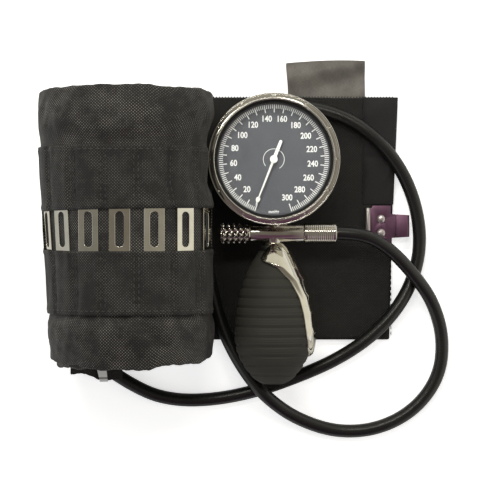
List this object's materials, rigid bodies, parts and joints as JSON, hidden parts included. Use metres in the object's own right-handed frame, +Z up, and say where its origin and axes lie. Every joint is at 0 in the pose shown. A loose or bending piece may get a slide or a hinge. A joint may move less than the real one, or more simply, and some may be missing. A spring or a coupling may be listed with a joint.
{
  "type": "aneroid sphygmomanometer",
  "caption": "One-hand blood pressure gauge with dial, release valve, squeeze bulb and spoon handle, joined by a rubber hose to a rolled cloth arm cuff with metal stays and a hook.",
  "frame": {"origin": "underside of the cuff's tail, on the table, below the crossing of the valve's axis and the axis of dial and bulb", "axes": "+Z up off the table through the dial's face, +Y from the bulb to the dial, +X from the rolled cuff to the hose connector"},
  "size_m": [0.2161, 0.2023, 0.079],
  "materials": {
    "cuff_cloth": "woven nylon",
    "bladder_rubber": "matt",
    "stay_steel": "polished",
    "hook_steel": "polished",
    "tab_cloth": "satin",
    "label_cloth": "satin",
    "hose_rubber": "semi-matt",
    "bulb_rubber": "matt",
    "valve_chrome": "polished",
    "brass": "turned",
    "steel": "turned",
    "seal_rubber": "matt",
    "case_chrome": "polished",
    "dial_print": "matt with white print",
    "spacer_black": "matt",
    "pointer_white": "matt",
    "lens_glass": "clear",
    "capsule_metal": "pressed"
  },
  "bodies": {
    "cuff_and_hand_piece": {"cuff_sleeve": "cuff_cloth", "bladder": "bladder_rubber", "bladder_port": "bladder_rubber", "stay_panel": "cuff_cloth", "closure_stays": "stay_steel", "tail_hem": "cuff_cloth", "hook_plate": "hook_steel", "hook_rivets": "hook_steel", "hook_backing_plate": "steel", "pull_tab": "tab_cloth", "care_label": "label_cloth", "outlet_flap": "cuff_cloth", "hose": "hose_rubber", "valve_body": "valve_chrome", "gauge_inlet_stem": "brass", "needle_seal": "seal_rubber", "outlet_valve_seat": "brass", "nipple_washer": "seal_rubber", "hose_nipple": "brass", "bulb": "bulb_rubber", "inlet_valve_body": "steel", "inlet_valve_screen": "steel", "spoon_handle": "valve_chrome", "spoon_lock_nut": "steel", "gauge_case": "case_chrome", "gauge_bezel": "case_chrome", "lens_gasket": "seal_rubber", "dial_lens": "lens_glass", "dial_plate": "dial_print", "dial_spacer_ring": "spacer_black", "movement_base_plate": "brass", "movement_top_plate": "brass", "movement_pillars": "brass", "movement_screws": "steel", "hairspring": "steel", "capsule": "capsule_metal", "capsule_stud": "brass", "pressure_tube": "brass"},
    "release_knob": {"release_knob": "valve_chrome", "valve_needle": "steel"},
    "outlet_disc": {"outlet_valve_disc": "seal_rubber"},
    "coupling_nut": {"coupling_nut": "valve_chrome"},
    "inlet_ball": {"inlet_valve_ball": "steel"},
    "push_pin": {"capsule_push_pin": "steel"},
    "rocker": {"rocker_shaft": "steel"},
    "sector": {"sector_gear": "brass", "sector_arbor": "steel"},
    "pointer": {"pinion_arbor": "steel", "pointer": "pointer_white"}
  },
  "joints": [
    {"name": "knob_turn", "type": "hinge", "parent": "cuff_and_hand_piece", "child": "release_knob", "pos_m": [-0.02, 0, 0.0234], "axis": [-1, 0, 0], "range_deg": [0, 720]},
    {"name": "outlet_disc_lift", "type": "slide", "parent": "cuff_and_hand_piece", "child": "outlet_disc", "axis": [0, 1, 0], "range_m": [0, 0.0008]},
    {"name": "nut_turn", "type": "hinge", "parent": "cuff_and_hand_piece", "child": "coupling_nut", "pos_m": [0.025, 0, 0.0234], "axis": [1, 0, 0], "range_deg": [0, 180]},
    {"name": "inlet_ball_lift", "type": "slide", "parent": "cuff_and_hand_piece", "child": "inlet_ball", "axis": [0, 1, 0], "range_m": [0, 0.0008]},
    {"name": "sector_swing", "type": "hinge", "parent": "cuff_and_hand_piece", "child": "sector", "pos_m": [0.011, 0.038, 0.027], "axis": [0, 0, 1], "range_deg": [0, 31.8], "stiffness_Nm_per_rad": 0.0005},
    {"name": "pointer_turn", "type": "hinge", "parent": "cuff_and_hand_piece", "child": "pointer", "pos_m": [0, 0.038, 0.037], "axis": [0, 0, 1], "range_deg": [-318.5, 0.5], "deforming": ["hairspring"]},
    {"name": "rocker_tilt", "type": "hinge", "parent": "cuff_and_hand_piece", "child": "rocker", "pos_m": [0.0096, 0.038, 0.02], "axis": [0, 1, 0], "range_deg": [-0.1, 11]},
    {"name": "capsule_rise", "type": "slide", "parent": "cuff_and_hand_piece", "child": "push_pin", "axis": [0, 0, 1], "range_m": [-0.00001, 0.0015], "deforming": ["capsule"]}
  ],
  "couplings": [
    {"joint": "pointer_turn", "follows": "sector_swing", "ratio": -10},
    {"joint": "rocker_tilt", "follows": "sector_swing", "ratio": 0.33333},
    {"joint": "capsule_rise", "follows": "sector_swing", "m_per_rad": 0.0025225}
  ]
}
